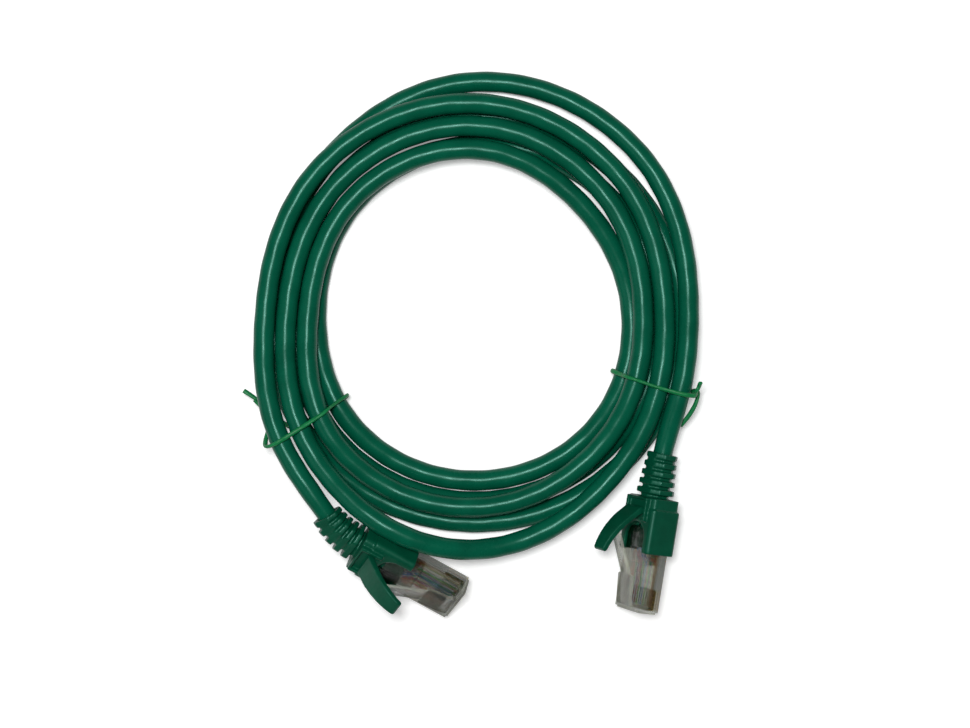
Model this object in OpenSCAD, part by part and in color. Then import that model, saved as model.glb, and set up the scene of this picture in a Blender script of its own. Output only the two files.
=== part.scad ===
// Ethernet patch cable: a coiled, tied cord with an eight-contact plug and snagless boot at each end.
// Millimetres, +Z up. The origin is on the ground under the middle of the whole part.

/* [Cord] */
// Outer diameter of the jacket
jacket_d = 5.2; // [4.8:0.1:5.4]
// Wall of the jacket
jacket_wall = 0.7; // [0.5:0.05:0.9]
// Diameter over the bundle of twisted pairs inside the jacket
bundle_d = 3; // [2.4:0.1:3.2]
// Diameter of one insulated wire
wire_d = 0.9; // [0.8:0.02:0.96]
// Diameter of the bare copper conductor in a wire
copper_d = 0.5; // [0.4:0.02:0.6]

/* [Coil] */
// Height of the middle of the upper layer of turns over the lower one
layer_rise = 5.75; // [5.7:0.05:6.5]
// Extra height of the outermost turn where it passes over a plug
hump_rise = 6.4; // [4:0.2:7]

/* [Plug] */
// Width of the plug body
plug_w = 11.7; // [11.5:0.02:11.8]
// Height of the plug body without its latch
plug_h = 6.6; // [6.4:0.02:6.7]
// Length of the plug body
plug_l = 22.5; // [21:0.1:23.2]
// Spacing of the contacts
pitch = 1.02; // [1:0.01:1.04]
// Thickness of a contact blade
blade_t = 0.35; // [0.28:0.01:0.4]
// Length of a contact blade
blade_l = 5.4; // [4.6:0.1:5.8]
// Gap between a blade and its slot, on each side
blade_gap = 0.05; // [0.03:0.01:0.1]

/* [Latch] */
// Width of the latch between its locking shoulders
latch_w = 6; // [5.6:0.1:6.4]
// Width of the thumb end of the latch
thumb_w = 3.25; // [3:0.05:3.6]
// Thickness of the latch
latch_t = 1; // [0.8:0.05:1.2]
// Radius of the rounded root that the latch turns on
latch_root_r = 0.6; // [0.5:0.05:0.7]
// Gap under the root of the latch
latch_gap = 0.12; // [0.08:0.02:0.3]

/* [Boot] */
// Wall of the hood round the plug
hood_wall = 1.1; // [0.9:0.05:1.3]
// Distance of the front edge of the hood behind the nose of the plug
hood_front = 16; // [14.5:0.1:17]
// Distance of the rear end of the hood behind the nose of the plug
hood_rear = 30.9; // [29:0.1:33]
// Length of the ribbed strain relief
relief_l = 12; // [10:0.5:14]
// Number of ribs on the strain relief
rib_count = 5; // [4:1:6]
// Share of each rib pitch that the rib itself takes
rib_share = 0.6; // [0.5:0.05:0.7]
// Width and height of the rib next to the hood
rib_size = [10.4, 8];
// Width and height of the rib next to the cord
rib_end_size = [8.4, 7.2];
// Gap between the boot and what it holds
boot_gap = 0.15; // [0.1:0.05:0.3]

/* [Lever] */
// Width of the lever at its free end, over the latch
lever_w = 4; // [3.2:0.1:4.6]
// Width of the lever at its root
lever_root_w = 7; // [6:0.1:8]
// Thickness of the lever
lever_t = 1.5; // [1.2:0.1:1.7]
// Radius of the rounded root that the lever turns on
lever_root_r = 0.9; // [0.7:0.05:1]

/* [Ties] */
// Diameter of a twist tie over its plastic cover
tie_d = 0.9; // [0.7:0.05:1]
// Gap between a tie and the cord
tie_gap = 0.3; // [0.2:0.05:0.4]

/* [Hidden] */
// The middle of the coil, as seen from the origin
ring_x = 1.36;
ring_y = 8.07;

// Where each turn lies at eight stations, a station every 45 degrees clockwise from 225 degrees:
// distance from the middle of the coil, in mm. The cord spirals in on the upper layer, goes down
// on the right, and spirals out again on the lower layer.
turn_r = [
    [64.0, 56.8, 57.8, 57.0, 53.9, 50.8, 56.1, 63.0],
    [58.2, 51.0, 51.4, 50.9, 47.6, 45.0, 48.6, 51.9],
    [51.5, 45.2, 45.6, 44.6, 41.2, 42.2, 44.6, 45.0],
    [45.1, 43.5, 45.2, 46.3, 48.3, 49.9, 50.6, 50.7],
    [50.9, 49.5, 52.2, 54.0, 54.6, 55.9, 56.6, 56.4],
    [56.7, 55.4, 58.2, 63.5, 62.2, 57.3, 61.0]
];
// Height of each turn over the lower layer at the same stations, as a share of layer_rise
turn_z = [
    [1.4, 1.1, 1.0, 1.0, 1.0, 1.0, 1.1, 1.3],
    [1.3, 1.0, 1.0, 1.0, 1.0, 1.0, 1.0, 1.0],
    [1.0, 1.0, 1.0, 1.05, 0.7, 0.08, 0.0, 0.0],
    [0.0, 0.0, 0.0, 0.0, 0.0, 0.0, 0.0, 0.0],
    [0.0, 0.0, 0.0, 0.0, 0.0, 0.0, 0.0, 0.0],
    [0.0, 0.0, 0.0, 0.0, 0.5, 1.0, 1.1]
];
first_angle = 225;
station_step = 45;
rings_per_turn = 24;
ring_step = 360 / rings_per_turn;
rings_per_station = station_step / ring_step;
coil_first = 1;
coil_last = 136;
coil_sides = 6;
flat_cut = jacket_d / 10;
low_z = jacket_d / 2 - flat_cut;
// the coil is lifted where a tie passes under it
tie_floor_gap = 0.25;
tie_lift = tie_d + tie_gap + flat_cut + tie_floor_gap;
tie_angles = [212.5, 338.5];
tie_spread = 32;
hump_angle = 249;
hump_spread = 34;
// the hump lies on the first turn and a little of the second
hump_turns = 1.2;
bore_d = jacket_d - 2 * jacket_wall;

station_r = [for (row = turn_r) each row];
station_z = [for (row = turn_z) each row];

// Smooth curve through a list of values, at place k + t
function at(list, k) = list[max(0, min(len(list) - 1, k))];
function smooth(list, k, t) =
    let (a = at(list, k - 1), b = at(list, k), c = at(list, k + 1), d = at(list, k + 2))
    0.5 * (2 * b + (c - a) * t + (2 * a - 5 * b + 4 * c - d) * t * t
        + (3 * b - a - 3 * c + d) * t * t * t);

// A bump of height 1 in the middle, that fades to nothing at the given spread. The angle falls all
// along the cord, so whole turns are added to keep it above nought.
added_turns = 20;
function bump(angle, middle, spread) =
    let (away = abs((angle - middle + 360 * added_turns + 180) % 360 - 180))
    away < spread ? (1 + cos(180 * away / spread)) / 2 : 0;

// A point of the coil's route, u rings from its start
function coil_point(u) =
    let (
        k = floor(u / rings_per_station),
        t = u / rings_per_station - k,
        angle = first_angle - ring_step * u,
        turn = u * ring_step / 360,
        r = smooth(station_r, k, t),
        over_plug = turn < hump_turns ? hump_rise * bump(angle, hump_angle, hump_spread) : 0,
        over_ties = tie_lift
            * (bump(angle, tie_angles[0], tie_spread) + bump(angle, tie_angles[1], tie_spread))
    )
    [ring_x + r * cos(angle), ring_y + r * sin(angle),
        low_z + layer_rise * smooth(station_z, k, t) + over_plug + over_ties];

function unit(v) = v / norm(v);
coil_in_dir = unit(coil_point(coil_first + 0.5) - coil_point(coil_first));
coil_out_dir = unit(coil_point(coil_last) - coil_point(coil_last - 0.5));
coil_in = coil_point(coil_first) - jacket_d * coil_in_dir;
coil_out = coil_point(coil_last) + jacket_d * coil_out_dir;
coil_route = concat([coil_in], [for (i = [coil_first:coil_last]) coil_point(i)], [coil_out]);

// Least gap of the coil to itself, between strands that are half a turn or more apart along the cord
half_turn = rings_per_turn / 2;
probe = 0.5;
fine_route = [for (u = [coil_first:probe:coil_last]) coil_point(u)];
nearest = [for (i = [0:len(fine_route) - 1])
    let (first = i + half_turn / probe)
    if (first < len(fine_route))
    min([for (j = [first:len(fine_route) - 1]) norm(fine_route[j] - fine_route[i])])];
function length_of(route) =
    [for (i = [1:len(route) - 1]) norm(route[i] - route[i - 1])] * [for (i = [1:len(route) - 1]) 1];

// Rings of points round a route, every one square to it, with a corner at the top
function heading(route, i) =
    unit(route[min(len(route) - 1, i + 1)] - route[max(0, i - 1)]);
function ring(route, i, r, sides) =
    let (
        ahead = heading(route, i),
        side = unit(cross(ahead, [0, 0, 1])),
        up = cross(side, ahead)
    )
    [for (n = [0:sides - 1]) let (a = 90 + n * 360 / sides)
        route[i] + r * (cos(a) * side + sin(a) * up)];

// A solid or hollow tube along a route, as one closed mesh of triangles
module tube(route, d, sides, bore = 0) {
    count = len(route);
    outside = [for (i = [0:count - 1]) each ring(route, i, d / 2, sides)];
    inside = bore > 0 ? [for (i = [0:count - 1]) each ring(route, i, bore / 2, sides)] : [];
    shift = count * sides;
    function wall(from, flip) = [
        for (i = [0:count - 2], n = [0:sides - 1])
        let (a = from + i * sides + n, b = from + i * sides + (n + 1) % sides, c = b + sides, e = a + sides)
        each flip ? [[a, c, b], [a, e, c]] : [[a, b, c], [a, c, e]]
    ];
    function disc(from, flip) = [
        for (n = [1:sides - 2]) flip ? [from, from + n, from + n + 1] : [from, from + n + 1, from + n]
    ];
    function washer(at_ring, flip) = [
        for (n = [0:sides - 1])
        let (a = at_ring * sides + n, b = at_ring * sides + (n + 1) % sides, c = b + shift, e = a + shift)
        each flip ? [[a, b, c], [a, c, e]] : [[a, c, b], [a, e, c]]
    ];
    ends = bore > 0
        ? concat(washer(0, false), washer(count - 1, true))
        : concat(disc(0, false), disc((count - 1) * sides, true));
    inner_wall = bore > 0 ? wall(shift, true) : [];
    faces = concat(wall(0, false), ends, inner_wall);
    polyhedron(points = concat(outside, inside), faces = faces, convexity = 10);
}

module above_ground(size = 200) {
    intersection() {
        children();
        translate([-size / 2, -size / 2, 0]) cube([size, size, size]);
    }
}

// ---- Plugs: in a plug's own frame the nose is at y = 0, +Y points out of the nose, and the latch is on +Z.

// [nose, yaw, pitch, roll, bend of the strain relief]
left = [[ring_x - 4.8, ring_y - 76.6, 5.9], 240.6, -9, 38, 28];
right = [[ring_x + 43.1, ring_y - 79.7, 8.0], 170.7, 0, 60, 3];

module in_plug(s) {
    translate(s[0]) rotate([0, 0, s[1]]) rotate([s[2], 0, 0]) rotate([0, s[3], 0]) children();
}

function rolled(p, a) = [p.x * cos(a) + p.z * sin(a), p.y, p.z * cos(a) - p.x * sin(a)];
function pitched(p, a) = [p.x, p.y * cos(a) - p.z * sin(a), p.y * sin(a) + p.z * cos(a)];
function yawed(p, a) = [p.x * cos(a) - p.y * sin(a), p.x * sin(a) + p.y * cos(a), p.z];
function from_plug(s, p) = s[0] + yawed(pitched(rolled(p, s[3]), s[2]), s[1]);

// The middle of the boot's bore, at a distance behind the nose of the plug
function relief_radius(s) = relief_l / (s[4] * PI / 180);
function boot_axis(s, back) =
    back <= hood_rear
    ? [0, -back, 0]
    : let (angle = min(back - hood_rear, relief_l) / relief_l * s[4], r = relief_radius(s),
        past = max(0, back - hood_rear - relief_l), inward = r * (1 - cos(angle)) + past * sin(angle))
    [-inward * cos(s[3]), -hood_rear - r * sin(angle) - past * cos(angle), -inward * sin(s[3])];

edge = 0.5;
jacket_end = 17.2;
wire_z = -1.2;
wire_nose = 1.5;
fan_y = 15.2;
row_y = 13.2;
upper_row_z = 0.3;
crimp_z = -0.6;
window_y = [-21, -17];
window_w = 7;
fan_w = 8.4;
cavity_w = 9.8;

module soft_box(w, h, y0, y1, r) {
    translate([0, y1, 0]) rotate([90, 0, 0]) linear_extrude(y1 - y0) rounded(w, h, r);
}

module rounded(w, h, r) {
    square([w - 2 * r, h], center = true);
    square([w, h - 2 * r], center = true);
    for (x = [-1, 1], y = [-1, 1]) translate([x * (w / 2 - r), y * (h / 2 - r)]) circle(r, $fn = 32);
}

// Contacts: the blades start and their slots end at these distances behind the nose
pin_count = 8;
blade_front = 0.9;
slot_back = blade_l + 1.2;
slot_l = blade_l + 0.4 + 2 * blade_gap;
slot_depth = plug_h + crimp_z + 0.3;
function contact_x(n) = (n - (pin_count - 1) / 2) * pitch;
module slots() {
    for (n = [0:pin_count - 1])
        translate([contact_x(n) - blade_t / 2 - blade_gap, -slot_back, -plug_h])
            cube([blade_t + 2 * blade_gap, slot_l, slot_depth]);
}

module housing() {
    room = 0.1;
    channel_w = pin_count * pitch + 2 * room;
    color([0.82, 0.84, 0.8, 0.5]) difference() {
        union() {
            soft_box(plug_w, plug_h, -plug_l, -edge, edge);
            soft_box(plug_w - 2 * edge, plug_h - 2 * edge, -edge, 0, edge / 2);
        }
        // room for the jacket and the fan of wires behind it
        soft_box(cavity_w, jacket_d + 3 * room, -plug_l - 1, room - jacket_end, jacket_d / 2);
        // flat channel for the eight wires, side by side
        translate([-channel_w / 2, -jacket_end - edge, wire_z - (wire_d + room) / 2])
            cube([channel_w, jacket_end - wire_nose + edge, wire_d + room]);
        slots();
        // chamber where the wires fan out
        translate([-fan_w / 2, -jacket_end - edge, -(bore_d + room) / 2])
            cube([fan_w, jacket_end - row_y + 0.3 + edge, bore_d + room]);
        // window of the strain relief bar, on the latch side
        translate([-window_w / 2, window_y[0], 0]) cube([window_w, window_y[1] - window_y[0], plug_h]);
    }
}

module strain_bar() {
    gap = 0.1;
    slope = 0.15;
    top = plug_h / 2 - jacket_d / 2 - 2 * slope;
    color([0.85, 0.87, 0.83, 0.5])
    translate([0, 0, jacket_d / 2 + gap]) rotate([90, 0, 90])
        linear_extrude(window_w - 2 * gap, center = true)
        polygon([
            [window_y[0] + gap, gap], [window_y[0] + 1.2, 0], [window_y[1] - gap, 0],
            [window_y[1] - gap, top], [window_y[0] + gap, top + slope]
        ]);
}

module contacts() {
    blade_back = blade_l + 0.8;
    blade_edge = 0.35 - plug_h / 2;
    blade_top = wire_z - wire_d / 2 - 0.1;
    color([0.85, 0.65, 0.2])
    for (n = [0:pin_count - 1])
        translate([contact_x(n), 0, 0]) rotate([90, 0, 90])
            linear_extrude(blade_t, center = true)
            polygon([
                [-blade_front - 0.2, blade_edge], [-blade_front, blade_edge + 0.4],
                [-blade_front, blade_top], [-blade_back, blade_top],
                [-blade_back, blade_edge + 0.25], [0.4 - blade_back, blade_edge - 0.05]
            ]);
}

latch_axis = [0, -1.8, plug_h / 2 + latch_gap + latch_root_r];
latch_knee = [-9.8, plug_h / 2 + 1.95];
latch_end = [-20.2, plug_h / 2 + 7];

// Outline of a bent band: points along its middle, half its thickness at each, and a round far end
function band_normal(mid, i) =
    let (ahead = unit(mid[min(len(mid) - 1, i + 1)] - mid[max(0, i - 1)]))
    [-ahead.y, ahead.x];
function round_end(mid, r) =
    let (last = len(mid) - 1, n = band_normal(mid, last), turn = atan2(n.y, n.x))
    [for (a = [30:30:150]) mid[last] + r * [cos(turn - a), sin(turn - a)]];
function band(mid, half) = concat(
    [for (i = [0:len(mid) - 1]) mid[i] + half[i] * band_normal(mid, i)],
    round_end(mid, half[len(mid) - 1]),
    [for (i = [len(mid) - 1:-1:0]) mid[i] - half[i] * band_normal(mid, i)],
    round_end([mid[1], mid[0]], half[0])
);

latch_root = [latch_axis.y, latch_axis.z];
latch_bridge = [-3.6, latch_root.y + 0.55];
latch_lock = [-9.2, latch_knee.y - 0.1];
latch_wide = [latch_root, latch_bridge, latch_lock];
latch_thumb = [latch_lock, latch_knee, latch_end];

module latch() {
    color([0.84, 0.86, 0.82, 0.5]) {
        rotate([90, 0, 90]) linear_extrude(latch_w, center = true)
            polygon(band(latch_wide, [latch_root_r, latch_t / 2, latch_t / 2]));
        rotate([90, 0, 90]) linear_extrude(thumb_w, center = true)
            polygon(band(latch_thumb, [latch_t / 2, latch_t / 2, latch_t * 0.42]));
    }
}

// Wires: from the end of the jacket they fan out into one flat row, pin 1 on +X
function pin_x(pin) = (4.5 - pin) * pitch;
function wire_route(pin) =
    let (
        row = [-1, 1, -1, 1, 1, -1, 1, -1][pin - 1],
        turn = row * [22.5, 22.5, 67.5, 67.5, 112.5, 112.5, 157.5, 157.5][pin - 1],
        r = bore_d / 2 - wire_d / 2 - 0.03,
        x = pin_x(pin)
    )
    [
        [r * cos(turn), -jacket_end, r * sin(turn)],
        [r * cos(turn), -jacket_end + 0.3, r * sin(turn)],
        [x, -fan_y, row < 0 ? wire_z : upper_row_z],
        [x, -row_y, wire_z],
        [x, -wire_nose - 0.3, wire_z]
    ];

wire_sides = 6;
copper_gap = 0.04;
module wire(pin, d) {
    tube(wire_route(pin), d, wire_sides, copper_d + 2 * copper_gap);
}

module wire_pair(a, b, tone, pale) {
    color(tone) wire(a, wire_d);
    color(pale) wire(b, wire_d);
}

module conductors() {
    color([0.72, 0.4, 0.22])
    for (pin = [1:pin_count]) tube(wire_route(pin), copper_d, wire_sides);
}

// Boot
module hood() {
    outer_w = plug_w + 2 * (boot_gap + hood_wall);
    outer_h = plug_h + 2 * (boot_gap + hood_wall);
    corner = 1.3;
    shoulder_l = 3;
    notch_r = 4.4;
    notch_back = 24;
    notch_floor = plug_h / 2 - 0.6;
    saddle_front = 24.6;
    saddle_w = lever_root_w + 2 * corner;
    pocket_gap = 0.3;
    pocket_floor = lever_axis.z - lever_root_r - boot_gap - 0.1;
    over = 10; // higher than all of the hood
    difference() {
        union() {
            soft_box(outer_w, outer_h, shoulder_l - hood_rear, -hood_front, corner);
            // lower, narrower shoulder next to the strain relief
            soft_box(outer_w - 1.4, outer_h - 0.6, -hood_rear, shoulder_l - hood_rear, corner);
            // saddle that carries the lever
            translate([-saddle_w / 2, 0.2 - hood_rear, 0])
                cube([saddle_w, hood_rear - saddle_front, outer_h / 2 + 1.2]);
        }
        soft_box(plug_w + 2 * boot_gap, plug_h + 2 * boot_gap, -plug_l - boot_gap, 1 - hood_front, edge);
        // open channel over the latch
        translate([0, notch_r - notch_back, notch_floor]) {
            translate([-notch_r, 0, 0]) cube([2 * notch_r, 2 * over, over]);
            cylinder(h = over, r = notch_r, $fn = 64);
        }
        // pocket of the lever's root
        translate([-lever_root_w / 2 - pocket_gap, 0.8 - hood_rear, pocket_floor])
            cube([lever_root_w + 2 * pocket_gap, over, over]);
    }
}

lever_axis = [0, -27.2, plug_h / 2 + 2.5];
lever_mid = [-22.1, plug_h / 2 + 9.25];
lever_tip = [-15.8, plug_h / 2 + 11.2];
lever_taper_y = -25;

// The strain relief reaches this far into the hood; as an angle of its bend
boot_lap = 1;
rib_corner = 2;
relief_wall = 0.95;
relief_sides = 8;
function lap(s) = boot_lap / relief_radius(s) * 180 / PI;

// Outline of the strain relief between its ribs: flat sides all at one distance from the middle
function relief_outline(half) =
    let (part = 180 / relief_sides)
    [for (n = [0:relief_sides - 1]) let (a = (2 * n + 1) * part) half / cos(part) * [cos(a), sin(a)]];

// Outline of a rib: a box with cut corners
function rib_outline(half) = [
    for (q = [[1, 1], [-1, 1], [-1, -1], [1, -1]])
    let (
        steep = [q.x * half.x, q.y * (half.y - rib_corner)],
        flat = [q.x * (half.x - rib_corner), q.y * half.y]
    )
    each q.x * q.y > 0 ? [steep, flat] : [flat, steep]
];

module relief(s) {
    r = relief_radius(s);
    step = s[4] / rib_count;
    translate([0, -hood_rear, 0]) rotate([0, -s[3], 0]) translate([-r, 0, 0]) {
        rotate([0, 0, -s[4]]) rotate_extrude(angle = s[4] + lap(s), $fn = 720)
            translate([r, 0]) rotate(-s[3]) polygon(relief_outline(jacket_d / 2 + relief_wall));
        for (n = [0:rib_count - 1]) {
            share = rib_count > 1 ? n / (rib_count - 1) : 0;
            size = rib_size * (1 - share) + rib_end_size * share;
            rotate([0, 0, -(n + 1) * step]) rotate_extrude(angle = step * rib_share, $fn = 720)
                translate([r, 0]) rotate(-s[3]) polygon(rib_outline(size / 2));
        }
    }
}

module boot(s) {
    r = relief_radius(s);
    bore = jacket_d + 2 * boot_gap;
    bore_step = 0.2; // the straight bore is this much wider, so that the two bores meet cleanly
    color([0, 0.45, 0.3]) difference() {
        union() {
            hood();
            relief(s);
        }
        translate([0, -plug_l, 0]) rotate([90, 0, 0])
            cylinder(h = hood_rear - plug_l - boot_lap / 2, d = bore + bore_step, $fn = 64);
        translate([0, -hood_rear, 0]) rotate([0, -s[3], 0]) translate([-r, 0, 0])
            rotate([0, 0, -s[4] - lap(s)]) rotate_extrude(angle = s[4] + 2 * lap(s), $fn = 720)
            translate([r, 0]) circle(d = bore, $fn = 64);
    }
}

// Lever: a curved finger that rises from the boot and reaches over the end of the latch
lever_parts = 10;
function lever_line(t) =
    let (a = [lever_axis.y, lever_axis.z], b = lever_mid, c = lever_tip)
    (1 - t) * (1 - t) * a + 2 * t * (1 - t) * b + t * t * c;
lever_middle = [for (i = [0:lever_parts]) lever_line(i / lever_parts)];
lever_half = [for (i = [0:lever_parts]) i == 0 ? lever_root_r : lever_t / 2];

module lever() {
    far = lever_tip[0] + 2;
    color([0, 0.43, 0.28]) intersection() {
        rotate([90, 0, 90]) linear_extrude(lever_root_w, center = true)
            polygon(band(lever_middle, lever_half));
        // narrower towards its free end
        linear_extrude(2 * lever_tip[1]) polygon([
            [-lever_root_w / 2 - 1, -hood_rear], [lever_root_w / 2 + 1, -hood_rear],
            [lever_root_w / 2, lever_taper_y], [lever_w / 2, far],
            [-lever_w / 2, far], [-lever_root_w / 2, lever_taper_y]
        ]);
    }
}

// Tails: the cord between the coil and each plug, through the boot and into the plug
left_tail_route = concat(
    [for (back = [jacket_end, jacket_end + 3, hood_rear - 8, hood_rear, hood_rear + 3, hood_rear + 6,
        hood_rear + 9, hood_rear + relief_l]) from_plug(left, boot_axis(left, back))],
    [from_plug(left, boot_axis(left, hood_rear + relief_l + 4)), coil_in - jacket_d * coil_in_dir, coil_in]
);
right_tail_route = concat(
    [coil_out, coil_out + jacket_d * coil_out_dir],
    [for (back = [hood_rear + relief_l + 4, hood_rear + relief_l, hood_rear + 6, hood_rear,
        jacket_end + 3, jacket_end]) from_plug(right, boot_axis(right, back))]
);
tail_sides = 12;

module coil_jacket() {
    color([0, 0.42, 0.27]) above_ground() tube(coil_route, jacket_d, coil_sides, bore_d);
}

module coil_core() {
    color([0.8, 0.8, 0.75]) tube(coil_route, bundle_d, coil_sides);
}

module tail(route) {
    color([0, 0.42, 0.27]) tube(route, jacket_d, tail_sides, bore_d);
}

module tail_core(route) {
    color([0.8, 0.8, 0.75]) tube(route, bundle_d, coil_sides);
}

// Ties: each goes once round the bundle. A point on a tie lies against one turn of the cord, at a place
// given as [angle round the coil, turn, direction from that turn: 0 outwards, 90 up].
function against(place) =
    let (
        u = ((first_angle - place[0] + 720) % 360) / ring_step + place[1] * rings_per_turn,
        k = floor(u),
        middle = coil_point(k) * (k + 1 - u) + coil_point(k + 1) * (u - k),
        away = (jacket_d + tie_d) / 2 + tie_gap
    )
    middle + away * [cos(place[2]) * cos(place[0]), cos(place[2]) * sin(place[0]), sin(place[2])];
function tie_point(angle, r, z) = [ring_x + r * cos(angle), ring_y + r * sin(angle), z];

left_tie_route = concat(
    [tie_point(198, 66.2, 4.6), tie_point(201.5, 63.4, 4.3), tie_point(205.5, 61.8, 3.4)],
    [for (place = [
        [210, 5, -20], [211.5, 5, -55], [212, 5, -90], [212, 4, -90], [212, 3, -90], [212, 3, -115],
        [212, 3, -145], [212, 3, -175], [212, 3, 155], [212.5, 2, 160], [212.8, 2, 125], [213, 2, 95],
        [213, 1, 95], [213, 0, 90]
    ]) against(place)],
    [tie_point(212.8, 64.2, 14.8), tie_point(212.4, 66, 13.2), tie_point(211.8, 66.4, 11.2),
        tie_point(210.6, 65.6, 9.2), tie_point(208.8, 63.9, 7.4), tie_point(207, 62.9, 6),
        tie_point(204, 63, 5.6), tie_point(201, 64.2, 6)]
);
right_tie_route = concat(
    [tie_point(331.5, 62.8, 6.4), tie_point(334.5, 63.5, 7.3), tie_point(337.5, 63.8, 8.2),
        tie_point(340.2, 63.6, 8.3), tie_point(341, 63, 7), tie_point(340.6, 62.2, 5.4),
        tie_point(340, 61, 4.1)],
    [for (place = [
        [339.4, 4, -20], [339, 4, -55], [338.7, 4, -90], [338.5, 3, -90], [338.3, 2, -90], [338.1, 2, -112],
        [338, 2, -135], [337.9, 2, -158], [337.8, 2, 179], [337.7, 2, 158], [337.6, 1, 185], [337.6, 1, 162],
        [337.6, 1, 135], [337.7, 1, 112], [337.8, 1, 95], [338.1, 0, 95]
    ]) against(place)],
    [tie_point(338.8, 58.9, 13.9), tie_point(339.2, 61, 13.6), tie_point(339.7, 62.5, 12.4),
        tie_point(340.6, 62.7, 10.6), tie_point(342.2, 62.9, 10.4), tie_point(343, 62.8, 12)]
);

module tie(route) {
    color([0.1, 0.55, 0.3]) tube(route, tie_d, 8);
}

echo(least_gap_of_coil_to_itself = min(nearest) - jacket_d);
echo(coil_length = length_of(coil_route));
echo(left_tail_length = length_of(left_tail_route), right_tail_length = length_of(right_tail_route));

orange = [0.9, 0.45, 0.1];
green = [0.1, 0.55, 0.25];
blue = [0.1, 0.3, 0.7];
brown = [0.45, 0.25, 0.12];
pale_orange = [0.95, 0.8, 0.65];
pale_green = [0.75, 0.9, 0.78];
pale_blue = [0.75, 0.82, 0.93];
pale_brown = [0.85, 0.75, 0.68];

coil_jacket();
coil_core();
tail(left_tail_route);  // left_tail
tail(right_tail_route);  // right_tail
tail_core(left_tail_route);  // left_tail_core
tail_core(right_tail_route);  // right_tail_core
tie(left_tie_route);  // left_tie
tie(right_tie_route);  // right_tie
in_plug(left) housing();  // left_housing
in_plug(left) latch();  // left_latch
in_plug(left) strain_bar();  // left_strain_bar
in_plug(left) contacts();  // left_contacts
in_plug(left) conductors();  // left_conductors
in_plug(left) wire_pair(2, 1, orange, pale_orange);  // left_orange_pair
in_plug(left) wire_pair(6, 3, green, pale_green);  // left_green_pair
in_plug(left) wire_pair(4, 5, blue, pale_blue);  // left_blue_pair
in_plug(left) wire_pair(8, 7, brown, pale_brown);  // left_brown_pair
in_plug(left) boot(left);  // left_boot
in_plug(left) lever();  // left_lever
in_plug(right) housing();  // right_housing
in_plug(right) latch();  // right_latch
in_plug(right) strain_bar();  // right_strain_bar
in_plug(right) contacts();  // right_contacts
in_plug(right) conductors();  // right_conductors
in_plug(right) wire_pair(2, 1, orange, pale_orange);  // right_orange_pair
in_plug(right) wire_pair(6, 3, green, pale_green);  // right_green_pair
in_plug(right) wire_pair(4, 5, blue, pale_blue);  // right_blue_pair
in_plug(right) wire_pair(8, 7, brown, pale_brown);  // right_brown_pair
in_plug(right) boot(right);  // right_boot
in_plug(right) lever();  // right_lever
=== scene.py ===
import math
import bpy
from mathutils import Matrix, Vector, kdtree, noise


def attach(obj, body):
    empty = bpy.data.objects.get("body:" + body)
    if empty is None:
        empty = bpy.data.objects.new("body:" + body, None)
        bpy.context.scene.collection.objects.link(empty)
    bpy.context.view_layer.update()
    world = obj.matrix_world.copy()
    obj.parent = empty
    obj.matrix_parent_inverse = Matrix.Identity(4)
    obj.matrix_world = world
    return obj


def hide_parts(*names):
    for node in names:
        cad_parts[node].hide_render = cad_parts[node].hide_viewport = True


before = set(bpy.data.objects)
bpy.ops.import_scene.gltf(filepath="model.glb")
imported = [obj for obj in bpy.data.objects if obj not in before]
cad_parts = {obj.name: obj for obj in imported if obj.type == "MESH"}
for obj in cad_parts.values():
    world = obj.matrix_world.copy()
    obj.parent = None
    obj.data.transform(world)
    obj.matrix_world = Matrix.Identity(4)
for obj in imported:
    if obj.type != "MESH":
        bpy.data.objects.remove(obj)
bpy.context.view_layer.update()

mm = 0.001
ringX, ringY = 1.36, 8.07


def linear(r, g, b):
    # screen colour, 0 to 255, as the light value that shaders take
    return tuple(((c / 255 + 0.055) / 1.055) ** 2.4 if c > 10 else c / 255 / 12.92
                 for c in (r, g, b)) + (1.0,)


# camera, straight over the coil
camera = {"height": 600, "aimX": 3.8, "aimY": -5.2, "widthSeen": 262.2, "plane": 6}
camData = bpy.data.cameras.new("topCamera")
camData.sensor_width = 36
camData.lens = 36 * (camera["height"] - camera["plane"]) / camera["widthSeen"]
camData.clip_start, camData.clip_end = 0.01, 10
camObject = bpy.data.objects.new("topCamera", camData)
camObject.location = (camera["aimX"] * mm, camera["aimY"] * mm, camera["height"] * mm)
bpy.context.collection.objects.link(camObject)
bpy.context.scene.camera = camObject
print("camera placed")


# the line the cord follows: spiral in on top, down on the right, spiral out below
turnRadii = [
    [64.0, 56.8, 57.8, 57.0, 53.9, 50.8, 56.1, 63.0],
    [58.2, 51.0, 51.4, 50.9, 47.6, 45.0, 48.6, 51.9],
    [51.5, 45.2, 45.6, 44.6, 41.2, 42.2, 44.6, 45.0],
    [45.1, 43.5, 45.2, 46.3, 48.3, 49.9, 50.6, 50.7],
    [50.9, 49.5, 52.2, 54.0, 54.6, 55.9, 56.6, 56.4],
    [56.7, 55.4, 58.2, 63.5, 62.2, 57.3, 61.0],
]
turnHeights = [
    [1.4, 1.1, 1.0, 1.0, 1.0, 1.0, 1.1, 1.3],
    [1.3, 1.0, 1.0, 1.0, 1.0, 1.0, 1.0, 1.0],
    [1.0, 1.0, 1.0, 1.05, 0.7, 0.08, 0.0, 0.0],
    [0.0] * 8,
    [0.0] * 8,
    [0.0, 0.0, 0.0, 0.0, 0.5, 1.0, 1.1],
]
stationRadii = [r for row in turnRadii for r in row]
stationHeights = [z for row in turnHeights for z in row]
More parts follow.
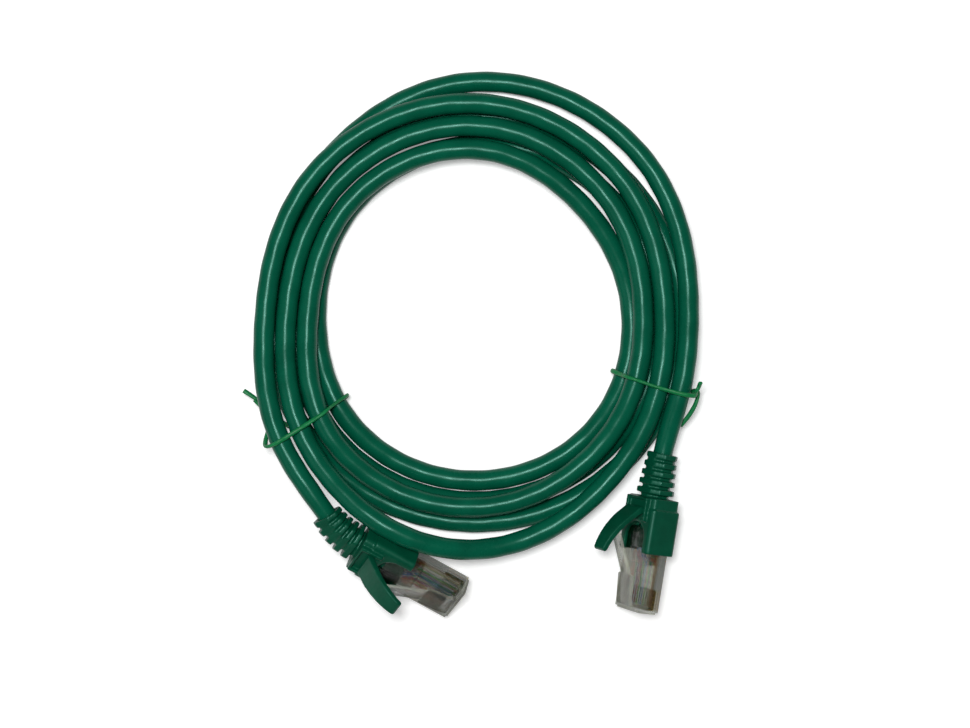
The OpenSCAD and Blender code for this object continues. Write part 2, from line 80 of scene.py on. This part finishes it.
coil = {"firstAngle": 225, "ringStep": 15, "perStation": 3, "first": 1, "last": 136, "perRing": 8,
        "low": 2.08, "layerRise": 5.75, "humpAngle": 249, "humpSpread": 34, "humpRise": 6.4, "humpEnd": 28.8,
        "tieAngles": (212.5, 338.5), "tieSpread": 32, "tieLift": 1.97}


def smoothAt(values, place, t):
    # the value between two stations of a table, on a smooth curve through all of them
    a, b, c, d = (values[max(0, min(len(values) - 1, place + n))] for n in (-1, 0, 1, 2))
    return 0.5 * (2 * b + (c - a) * t + (2 * a - 5 * b + 4 * c - d) * t * t
                  + (3 * b - a - 3 * c + d) * t ** 3)


def bump(angle, middle, spread):
    away = abs((angle - middle + 180) % 360 - 180)
    return (1 + math.cos(math.pi * away / spread)) / 2 if away < spread else 0


def ringPoint(angle, r, z):
    return Vector((ringX + r * math.cos(math.radians(angle)), ringY + r * math.sin(math.radians(angle)), z))


def coilPoint(u):
    place = math.floor(u / coil["perStation"])
    t = u / coil["perStation"] - place
    angle = coil["firstAngle"] - coil["ringStep"] * u
    r = smoothAt(stationRadii, place, t)
    overPlug = 0
    if u < coil["humpEnd"]:
        overPlug = coil["humpRise"] * bump(angle, coil["humpAngle"], coil["humpSpread"])
    overTies = coil["tieLift"] * sum(bump(angle, a, coil["tieSpread"]) for a in coil["tieAngles"])
    z = coil["low"] + coil["layerRise"] * smoothAt(stationHeights, place, t) + overPlug + overTies
    return ringPoint(angle, r, z)


# plugs: the nose is at y = 0, +Y out of the nose, +Z the latch side
plugs = {
    "left": {"nose": (ringX - 4.8, ringY - 76.6, 5.9), "turn": (240.6, -9, 38), "bend": 28},
    "right": {"nose": (ringX + 43.1, ringY - 79.7, 8.0), "turn": (170.7, 0, 60), "bend": 3},
}
jacketEnd, hoodRear, reliefL = 17.2, 30.9, 12
for plug in plugs.values():
    yaw, pitch, roll = (math.radians(a) for a in plug["turn"])
    plug["matrix"] = (Matrix.Translation(plug["nose"]) @ Matrix.Rotation(yaw, 4, "Z")
                      @ Matrix.Rotation(pitch, 4, "X") @ Matrix.Rotation(roll, 4, "Y"))


def bootAxis(plug, back):
    # middle of the boot's bore, at a distance behind the nose
    if back <= hoodRear:
        return Vector((0, -back, 0))
    r = reliefL / math.radians(plug["bend"])
    angle = min(back - hoodRear, reliefL) / reliefL * math.radians(plug["bend"])
    past = max(0, back - hoodRear - reliefL)
    inward = r * (1 - math.cos(angle)) + past * math.sin(angle)
    roll = math.radians(plug["turn"][2])
    return Vector((-inward * math.cos(roll), -hoodRear - r * math.sin(angle) - past * math.cos(angle),
                   -inward * math.sin(roll)))


def bootLine(side, step=1.2):
    plug = plugs[side]
    count = round((hoodRear + reliefL - jacketEnd) / step)
    backs = [jacketEnd + (hoodRear + reliefL - jacketEnd) * n / count for n in range(count + 1)]
    return [plug["matrix"] @ bootAxis(plug, back) for back in backs]


def bridge(a, aDir, b, bDir, parts=14):
    # smooth free stretch between two points and their headings
    reach = (b - a).length
    out = []
    for n in range(1, parts):
        t = n / parts
        out.append((2 * t ** 3 - 3 * t * t + 1) * a + (t ** 3 - 2 * t * t + t) * reach * aDir
                   + (3 * t * t - 2 * t ** 3) * b + (t ** 3 - t * t) * reach * bDir)
    return out


def evenly(points, step):
    # the same line with points a fixed step apart
    run = [0.0]
    for a, b in zip(points, points[1:]):
        run.append(run[-1] + (b - a).length)
    count = max(2, round(run[-1] / step))
    out, k = [], 0
    for n in range(count + 1):
        want = run[-1] * n / count
        while k < len(run) - 2 and run[k + 1] < want:
            k += 1
        t = (want - run[k]) / max(1e-9, run[k + 1] - run[k])
        out.append(points[k].lerp(points[k + 1], min(1, t)))
    return out


def relaxed(points, rounds=3):
    for _ in range(rounds):
        inner = [(a + 2 * b + c) / 4 for a, b, c in zip(points, points[1:], points[2:])]
        points = [points[0]] + inner + [points[-1]]
    return points


def lineLength(points):
    return sum((b - a).length for a, b in zip(points, points[1:]))


def heading(a, b):
    return (b - a).normalized()


def cordLine(step=1.4):
    left, right = bootLine("left"), bootLine("right")[::-1]
    count = (coil["last"] - coil["first"]) * coil["perRing"]
    wound = [coilPoint(coil["first"] + n / coil["perRing"]) for n in range(count + 1)]
    first = bridge(left[-1], heading(left[-2], left[-1]), wound[0], heading(wound[0], wound[1]))
    last = bridge(wound[-1], heading(wound[-2], wound[-1]), right[0], heading(right[0], right[1]))
    return relaxed(evenly(left + first + wound + last + right, step))


def tubeMesh(name, points, radius, sides=20, capped=True, shape=None, floorZ=None):
    # skin of a round section along a line; shape(run, angle) changes the radius, and it lies flat on floorZ
    verts, faces = [], []
    ahead = heading(points[0], points[1])
    aslant = Vector((0.31, 0.17, 0.93))
    up = ahead.cross(aslant).normalized()
    run = 0.0
    for i, p in enumerate(points):
        now = heading(points[max(0, i - 1)], points[min(i + 1, len(points) - 1)])
        up = ahead.rotation_difference(now) @ up
        up = (up - now * up.dot(now)).normalized()
        side = now.cross(up)
        if i:
            run += (p - points[i - 1]).length
        ahead = now
        for n in range(sides):
            a = 2 * math.pi * n / sides
            r = radius * (shape(run, a) if shape else 1)
            at = p + r * (math.cos(a) * up + math.sin(a) * side)
            if floorZ is not None:
                at.z = max(at.z, floorZ)
            verts.append(at * mm)
    for i in range(len(points) - 1):
        for n in range(sides):
            m = (n + 1) % sides
            faces.append((i * sides + n, i * sides + m, (i + 1) * sides + m, (i + 1) * sides + n))
    if capped:
        faces.append(tuple(range(sides))[::-1])
        faces.append(tuple((len(points) - 1) * sides + n for n in range(sides)))
    mesh = bpy.data.meshes.new(name)
    mesh.from_pydata(verts, [], faces)
    mesh.update()
    for poly in mesh.polygons:
        poly.use_smooth = len(poly.vertices) == 4
    return mesh


def addPiece(name, mesh, material, body="cord"):
    piece = bpy.data.objects.new(name, mesh)
    bpy.context.collection.objects.link(piece)
    for m in (material if isinstance(material, list) else [material]):
        mesh.materials.append(m)
    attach(piece, body)
    return piece


# materials
def newMaterial(name):
    made = bpy.data.materials.new(name)
    made.use_nodes = True
    nodes, links = made.node_tree.nodes, made.node_tree.links
    return made, nodes, links, nodes["Principled BSDF"]


def speckle(nodes, links, scale, detail=3.0, stretch=(1, 1, 1)):
    where = nodes.new("ShaderNodeTexCoord")
    place = nodes.new("ShaderNodeMapping")
    place.inputs["Scale"].default_value = stretch
    grain = nodes.new("ShaderNodeTexNoise")
    grain.inputs["Scale"].default_value = scale
    grain.inputs["Detail"].default_value = detail
    links.new(where.outputs["Object"], place.inputs["Vector"])
    links.new(place.outputs["Vector"], grain.inputs["Vector"])
    return grain


def ramp(nodes, links, source, stops):
    scaleNode = nodes.new("ShaderNodeValToRGB")
    bar = scaleNode.color_ramp
    while len(bar.elements) < len(stops):
        bar.elements.new(0.5)
    for element, (at, colour) in zip(bar.elements, stops):
        element.position, element.color = at, colour
    links.new(source, scaleNode.inputs["Fac"])
    return scaleNode


def addBump(nodes, links, shader, source, strength, distance):
    rough = nodes.new("ShaderNodeBump")
    rough.inputs["Strength"].default_value = strength
    rough.inputs["Distance"].default_value = distance
    links.new(source, rough.inputs["Height"])
    links.new(rough.outputs["Normal"], shader.inputs["Normal"])


def mouldedPlastic(name, dark, light, roughness, bumpDistance, scale=220, gloss=0.5, tint=(1, 1, 1, 1)):
    made, nodes, links, shader = newMaterial(name)
    cloud = speckle(nodes, links, scale, 4)
    tone = ramp(nodes, links, cloud.outputs["Fac"], [(0.3, dark), (0.7, light)])
    links.new(tone.outputs["Color"], shader.inputs["Base Color"])
    wear = ramp(nodes, links, speckle(nodes, links, scale * 3, 5).outputs["Fac"],
                [(0.3, (roughness[0],) * 3 + (1,)), (0.75, (roughness[1],) * 3 + (1,))])
    links.new(wear.outputs["Color"], shader.inputs["Roughness"])
    shader.inputs["Specular IOR Level"].default_value = gloss
    shader.inputs["Specular Tint"].default_value = tint
    addBump(nodes, links, shader, speckle(nodes, links, scale * 6, 3).outputs["Fac"], 0.6, bumpDistance)
    return made


greenGloss = (0.48, 1, 0.87, 1)
jacketGreen = mouldedPlastic("jacketGreen", linear(0, 78, 56), linear(2, 88, 64), (0.24, 0.33),
                             bumpDistance=0.00002, scale=160, gloss=0.215, tint=greenGloss)
bootGreen = mouldedPlastic("bootGreen", linear(0, 67, 46), linear(2, 76, 53), (0.32, 0.44),
                           bumpDistance=0.00003, scale=260, gloss=0.32, tint=greenGloss)
tieGreen = mouldedPlastic("tieGreen", linear(8, 108, 58), linear(20, 126, 72), (0.38, 0.5),
                          bumpDistance=0.00002, scale=500, gloss=0.25)


def clearPlastic(name, tint, roughness=0.07, body=0.56):
    # body is the share that bends light; the rest lets it straight through to the wires
    made, nodes, links, shader = newMaterial(name)
    shader.inputs["Base Color"].default_value = tint
    shader.inputs["Alpha"].default_value = body
    shader.inputs["Transmission Weight"].default_value = 1.0
    shader.inputs["IOR"].default_value = 1.49
    haze = ramp(nodes, links, speckle(nodes, links, 350, 4).outputs["Fac"],
                [(0.35, (roughness * 0.6,) * 3 + (1,)), (0.7, (roughness * 1.8,) * 3 + (1,))])
    links.new(haze.outputs["Color"], shader.inputs["Roughness"])
    addBump(nodes, links, shader, speckle(nodes, links, 300, 2).outputs["Fac"], 0.5, 0.00004)
    return made


clearBody = clearPlastic("clearBody", linear(140, 146, 114))


def metal(name, colour, dark, roughness):
    made, nodes, links, shader = newMaterial(name)
    tone = ramp(nodes, links, speckle(nodes, links, 900, 4).outputs["Fac"], [(0.35, dark), (0.6, colour)])
    links.new(tone.outputs["Color"], shader.inputs["Base Color"])
    shader.inputs["Metallic"].default_value = 1.0
    wear = ramp(nodes, links, speckle(nodes, links, 1500, 3, (1, 6, 1)).outputs["Fac"],
                [(0.3, (roughness * 0.7,) * 3 + (1,)), (0.75, (roughness * 1.4,) * 3 + (1,))])
    links.new(wear.outputs["Color"], shader.inputs["Roughness"])
    return made


goldPlate = metal("goldPlate", linear(225, 180, 90), linear(190, 140, 60), 0.24)
bareCopper = metal("bareCopper", linear(200, 120, 80), linear(160, 85, 50), 0.3)
wireTones = {
    "orange": linear(240, 108, 42), "green": linear(48, 176, 80),
    "blue": linear(44, 112, 218), "brown": linear(156, 78, 44),
}
wireShade = 0.8
wirePlastic = {name: mouldedPlastic(name + "Wire", tuple(c * wireShade for c in tone[:3]) + (1,), tone,
                                    (0.4, 0.5), bumpDistance=0.00001, scale=700)
               for name, tone in wireTones.items()}
stripe = {"scale": 260, "distortion": 1.5, "paleBase": 0.4, "paleShare": 0.5, "from": 0.7, "full": 0.82,
          "roughness": 0.45}


def stripedWire(name, tone):
    # pale wire with a stripe of its mate's colour that winds round it
    made, nodes, links, shader = newMaterial(name)
    cloud = speckle(nodes, links, 900, 2)
    wave = nodes.new("ShaderNodeTexWave")
    wave.wave_type, wave.bands_direction = "BANDS", "DIAGONAL"
    wave.inputs["Scale"].default_value = stripe["scale"]
    wave.inputs["Distortion"].default_value = stripe["distortion"]
    where = nodes.new("ShaderNodeTexCoord")
    links.new(where.outputs["Object"], wave.inputs["Vector"])
    pale = tuple(stripe["paleBase"] + stripe["paleShare"] * c for c in tone[:3]) + (1,)
    mix = ramp(nodes, links, wave.outputs["Fac"], [(stripe["from"], pale), (stripe["full"], tone)])
    links.new(mix.outputs["Color"], shader.inputs["Base Color"])
    shader.inputs["Roughness"].default_value = stripe["roughness"]
    addBump(nodes, links, shader, cloud.outputs["Fac"], 0.4, 0.00001)
    return made


wireStriped = {name: stripedWire(name + "Striped", tone) for name, tone in wireTones.items()}

# cord: the lay of the twisted pairs shows faintly through the jacket
cordShape = {"diameter": 5.55, "inBoots": 5.2, "bootStretch": 27, "ease": 8, "layPitch": 16,
             "layDepth": 0.013, "lump": 0.014, "lumpLength": 7, "sides": 24}
core = {"radius": 1.45, "step": 4, "sides": 10}


def jacketShape(run, angle):
    # the jacket is slimmer in the boots at both ends, and swells to its free size outside them
    inside = min(run, cordRun - run) - cordShape["bootStretch"]
    free = max(0.0, min(1.0, inside / cordShape["ease"]))
    slim = cordShape["inBoots"] / cordShape["diameter"]
    lay = math.cos(2 * (angle + 2 * math.pi * run / cordShape["layPitch"]))
    lumps = noise.noise(Vector((run / cordShape["lumpLength"], 2 * math.cos(angle), 2 * math.sin(angle))))
    return (slim + (1 - slim) * free) * (1 + free * (cordShape["layDepth"] * lay + cordShape["lump"] * lumps))


cordPoints = cordLine()
cordRun = lineLength(cordPoints)
cordPiece = addPiece("cordJacket", tubeMesh("cordJacket", cordPoints, cordShape["diameter"] / 2,
                                            cordShape["sides"], True, jacketShape, 0), jacketGreen)
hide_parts("coil_jacket", "left_tail", "right_tail")
corePiece = addPiece("cordCore", tubeMesh("cordCore", cordLine(core["step"]), core["radius"], core["sides"]),
                     wirePlastic["blue"])
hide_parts("coil_core", "left_tail_core", "right_tail_core")


# ties
tieForm = {"radius": 0.54, "wing": 0.22, "twist": 9, "off": 3.35, "air": 0.03, "pushes": 16, "step": 0.35,
           "sides": 12}


def against(angle, turn, clock):
    # a point beside a strand of the coil: its place round the ring, its turn, and the side of the strand
    u = ((coil["firstAngle"] - angle + 720) % 360) / coil["ringStep"] + turn * 360 / coil["ringStep"]
    a, c = math.radians(angle), math.radians(clock)
    away = Vector((math.cos(c) * math.cos(a), math.cos(c) * math.sin(a), math.sin(c)))
    return coilPoint(u) + tieForm["off"] * away


tiePoints = {
    "left": [ringPoint(198, 66.2, 4.6), ringPoint(201.5, 63.4, 4.3), ringPoint(205.5, 61.8, 3.4)]
    + [against(*p) for p in [
        (210, 5, -20), (211.5, 5, -55), (212, 5, -90), (212, 4, -90), (212, 3, -90), (212, 3, -115),
        (212, 3, -145), (212, 3, -175), (212, 3, 155), (212.5, 2, 160), (212.8, 2, 125), (213, 2, 95),
        (213, 1, 95), (213, 0, 90)]]
    + [ringPoint(*p) for p in [
        (212.8, 64.2, 14.8), (212.4, 66, 13.2), (211.8, 66.4, 11.2), (210.6, 65.6, 9.2),
        (208.8, 63.9, 7.4), (207, 62.9, 6), (204, 63, 5.6), (201, 64.2, 6)]],
    "right": [ringPoint(*p) for p in [
        (331.5, 62.8, 6.4), (334.5, 63.5, 7.3), (337.5, 63.8, 8.2), (340.2, 63.6, 8.3),
        (341, 63, 7), (340.6, 62.2, 5.4), (340, 61, 4.1)]]
    + [against(*p) for p in [
        (339.4, 4, -20), (339, 4, -55), (338.7, 4, -90), (338.5, 3, -90), (338.3, 2, -90), (338.1, 2, -112),
        (338, 2, -135), (337.9, 2, -158), (337.8, 2, 179), (337.7, 2, 158), (337.6, 1, 185), (337.6, 1, 162),
        (337.6, 1, 135), (337.7, 1, 112), (337.8, 1, 95), (338.1, 0, 95)]]
    + [ringPoint(*p) for p in [
        (338.8, 58.9, 13.9), (339.2, 61, 13.6), (339.7, 62.5, 12.4), (340.6, 62.7, 10.6),
        (342.2, 62.9, 10.4), (343, 62.8, 12)]],
}


def throughPoints(points, parts=8):
    out = []
    for k in range(len(points) - 1):
        for n in range(parts):
            out.append(Vector([smoothAt([p[axis] for p in points], k, n / parts) for axis in range(3)]))
    return out + [points[-1]]


cordMiddles = cordLine(tieForm["step"])
middleTree = kdtree.KDTree(len(cordMiddles))
for n, point in enumerate(cordMiddles):
    middleTree.insert(point, n)
middleTree.balance()
jacketReach = cordShape["diameter"] / 2 * (1 + cordShape["layDepth"] + cordShape["lump"])
tieOff = jacketReach + tieForm["radius"] * (1 + tieForm["wing"]) + tieForm["air"]


def tieShape(run, angle):
    # a flat cover round a wire, with a slow twist
    return 1 + tieForm["wing"] * math.cos(2 * (angle + run / tieForm["twist"])) ** 3


def onJacket(points):
    # moves a line out until it lies on the strands that it would cut
    out = []
    for point in points:
        for _ in range(tieForm["pushes"]):
            nearest, _, distance = middleTree.find(point)
            if distance < tieOff:
                point = nearest + (point - nearest).normalized() * tieOff
        out.append(point)
    return out


for side, points in tiePoints.items():
    line = onJacket(relaxed(onJacket(evenly(throughPoints(points), tieForm["step"])), 2))
    tie = addPiece(side + "TwistTie", tubeMesh(side + "TwistTie", line, tieForm["radius"], tieForm["sides"],
                                               True, tieShape, 0), tieGreen)
    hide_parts(side + "_tie")
print("ties made")


# plug parts that come over from the frame get their finishes here
def dress(node, material):
    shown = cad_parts[node]
    shown.data.materials.clear()
    shown.data.materials.append(material)


for side in plugs:
    dress(side + "_housing", clearBody)
    dress(side + "_latch", clearBody)
    dress(side + "_strain_bar", clearBody)
    dress(side + "_contacts", goldPlate)
    dress(side + "_conductors", bareCopper)

# boots and levers: soft mouldings, with every edge eased
mould = {"bootGrid": 0.22, "leverGrid": 0.16, "bootRounds": 7, "leverRounds": 6}


def softened(node, name, body, grid, rounds):
    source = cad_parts[node]
    mesh = source.data.copy()
    mesh.transform(source.matrix_world)
    rough = bpy.data.objects.new(name + "Rough", mesh)
    bpy.context.collection.objects.link(rough)
    even = rough.modifiers.new("even", "REMESH")
    even.mode, even.voxel_size = "VOXEL", grid * mm
    ease = rough.modifiers.new("ease", "SMOOTH")
    ease.factor, ease.iterations = 0.5, rounds
    bpy.context.view_layer.update()
    made = bpy.data.meshes.new_from_object(rough.evaluated_get(bpy.context.evaluated_depsgraph_get()))
    made.name = name
    made.materials.clear()
    bpy.data.objects.remove(rough)
    for poly in made.polygons:
        poly.use_smooth = True
    piece = addPiece(name, made, bootGreen, body)
    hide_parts(node)
    return piece


for side in plugs:
    boot = softened(side + "_boot", side + "Boot", "cord", mould["bootGrid"], mould["bootRounds"])
    lever = softened(side + "_lever", side + "Lever", side + "_lever",
                     mould["leverGrid"], mould["leverRounds"])
print("boots made")

# wires inside each plug: from the jacket's bore they fan out into one row, which ends short of the nose
wires = {"pitch": 1.02, "diameter": 0.9, "level": -1.2, "noseGap": 1.8, "fanY": 15.2, "rowY": 13.2,
         "upper": 0.3, "bore": 1.9, "air": 0.03, "tuck": 0.2, "straight": 0.3, "middlePin": 4.5, "sides": 14}
pinRows = (-1, 1, -1, 1, 1, -1, 1, -1)
pinTurns = (22.5, 22.5, 67.5, 67.5, 112.5, 112.5, 157.5, 157.5)
pairPins = {"orange": (2, 1), "green": (6, 3), "blue": (4, 5), "brown": (8, 7)}


def wireLine(pin):
    row = pinRows[pin - 1]
    turn = math.radians(row * pinTurns[pin - 1])
    r = wires["bore"] - wires["diameter"] / 2 - wires["air"]
    x = (wires["middlePin"] - pin) * wires["pitch"]
    level = wires["level"]
    points = [Vector((r * math.cos(turn), -jacketEnd - wires["tuck"], r * math.sin(turn))),
              Vector((r * math.cos(turn), -jacketEnd + wires["straight"], r * math.sin(turn))),
              Vector((x, -wires["fanY"], level if row < 0 else wires["upper"])),
              Vector((x, -wires["rowY"], level)), Vector((x, -wires["noseGap"], level))]
    onward = Vector((0, 1, 0))
    return (points[:2] + bridge(points[1], onward, points[2], onward, 10)
            + [points[2]] + bridge(points[2], onward, points[3], onward, 6) + points[3:])


for side, plug in plugs.items():
    for pair, pins in pairPins.items():
        name = side + pair.capitalize() + "Pair"
        mesh = bpy.data.meshes.new(name)
        lines = [[plug["matrix"] @ p for p in wireLine(pin)] for pin in pins]
        parts = [tubeMesh("part", line, wires["diameter"] / 2, wires["sides"]) for line in lines]
        verts = [tuple(v.co) for part in parts for v in part.vertices]
        shift = len(parts[0].vertices)
        faces = [tuple(i + (shift if k else 0) for i in f.vertices)
                 for k, part in enumerate(parts) for f in part.polygons]
        mesh.from_pydata(verts, [], faces)
        piece = addPiece(name, mesh, [wirePlastic[pair], wireStriped[pair]])
        solid = len(parts[0].polygons)
        for n, poly in enumerate(mesh.polygons):
            poly.use_smooth = len(poly.vertices) == 4
            poly.material_index = 0 if n < solid else 1
        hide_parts(side + "_" + pair + "_pair")
print("plugs dressed")

# floor, lamps and sky
floorMesh = bpy.data.meshes.new("floor")
half, below = 1.5, -0.0002
corners = [(-half, -half, 0), (half, -half, 0), (half, half, 0), (-half, half, 0)]
floorMesh.from_pydata(corners, [], [(0, 1, 2, 3)])
floor = bpy.data.objects.new("floor", floorMesh)
bpy.context.collection.objects.link(floor)
floor.location.z = below
floorWhite, nodes, links, shader = newMaterial("floorWhite")
shader.inputs["Base Color"].default_value = (0.9, 0.9, 0.9, 1)
shader.inputs["Roughness"].default_value = 0.9
shader.inputs["Specular IOR Level"].default_value = 0.1
# the floor shows a soft shadow near the cord and turns plain white further out
paper = {"near": 0.14, "far": 0.5, "nearLift": 0.3, "farLift": 1.0}
rays = nodes.new("ShaderNodeLightPath")
spot = nodes.new("ShaderNodeTexCoord")
distance = nodes.new("ShaderNodeVectorMath")
distance.operation = "LENGTH"
fade = nodes.new("ShaderNodeMapRange")
for socket, value in zip(("From Min", "From Max", "To Min", "To Max"), paper.values()):
    fade.inputs[socket].default_value = value
lift = nodes.new("ShaderNodeMath")
lift.operation = "MULTIPLY"
links.new(spot.outputs["Object"], distance.inputs[0])
links.new(distance.outputs["Value"], fade.inputs["Value"])
links.new(rays.outputs["Is Camera Ray"], lift.inputs[0])
links.new(fade.outputs["Result"], lift.inputs[1])
links.new(lift.outputs["Value"], shader.inputs["Emission Strength"])
shader.inputs["Emission Color"].default_value = (1, 1, 1, 1)
floorMesh.materials.append(floorWhite)

# each lamp: place, size and power; with the sky they add up to one plain level of light
skyFill = 0.16
studio = {"overhead": (-0.06, 0.09, 0.8, 0.17, 5.0), "side": (-0.6, -0.2, 0.5, 0.5, 0.6)}
for name, (x, y, z, size, power) in studio.items():
    lampData = bpy.data.lights.new(name + "Lamp", "AREA")
    lampData.size, lampData.energy = size, power
    lamp = bpy.data.objects.new(name + "Lamp", lampData)
    lamp.location = (x, y, z)
    lamp.rotation_mode = "QUATERNION"
    lamp.rotation_quaternion = Vector((x, y, z)).to_track_quat("Z", "Y")
    bpy.context.collection.objects.link(lamp)
sky = bpy.data.worlds.new("paleSky")
bpy.context.scene.world = sky
sky.use_nodes = True
sky.node_tree.nodes["Background"].inputs["Color"].default_value = (1, 1, 1, 1)
skyNodes, skyLinks = sky.node_tree.nodes, sky.node_tree.links
skyRays = skyNodes.new("ShaderNodeLightPath")
skyLevel = skyNodes.new("ShaderNodeMapRange")  # white to the camera, a low even fill on the object
skyLevel.inputs["To Min"].default_value, skyLevel.inputs["To Max"].default_value = skyFill, 1.0
skyLinks.new(skyRays.outputs["Is Camera Ray"], skyLevel.inputs["Value"])
skyLinks.new(skyLevel.outputs["Result"], skyNodes["Background"].inputs["Strength"])
bpy.context.scene.view_settings.view_transform = "Standard"
print("floor and lamps made")
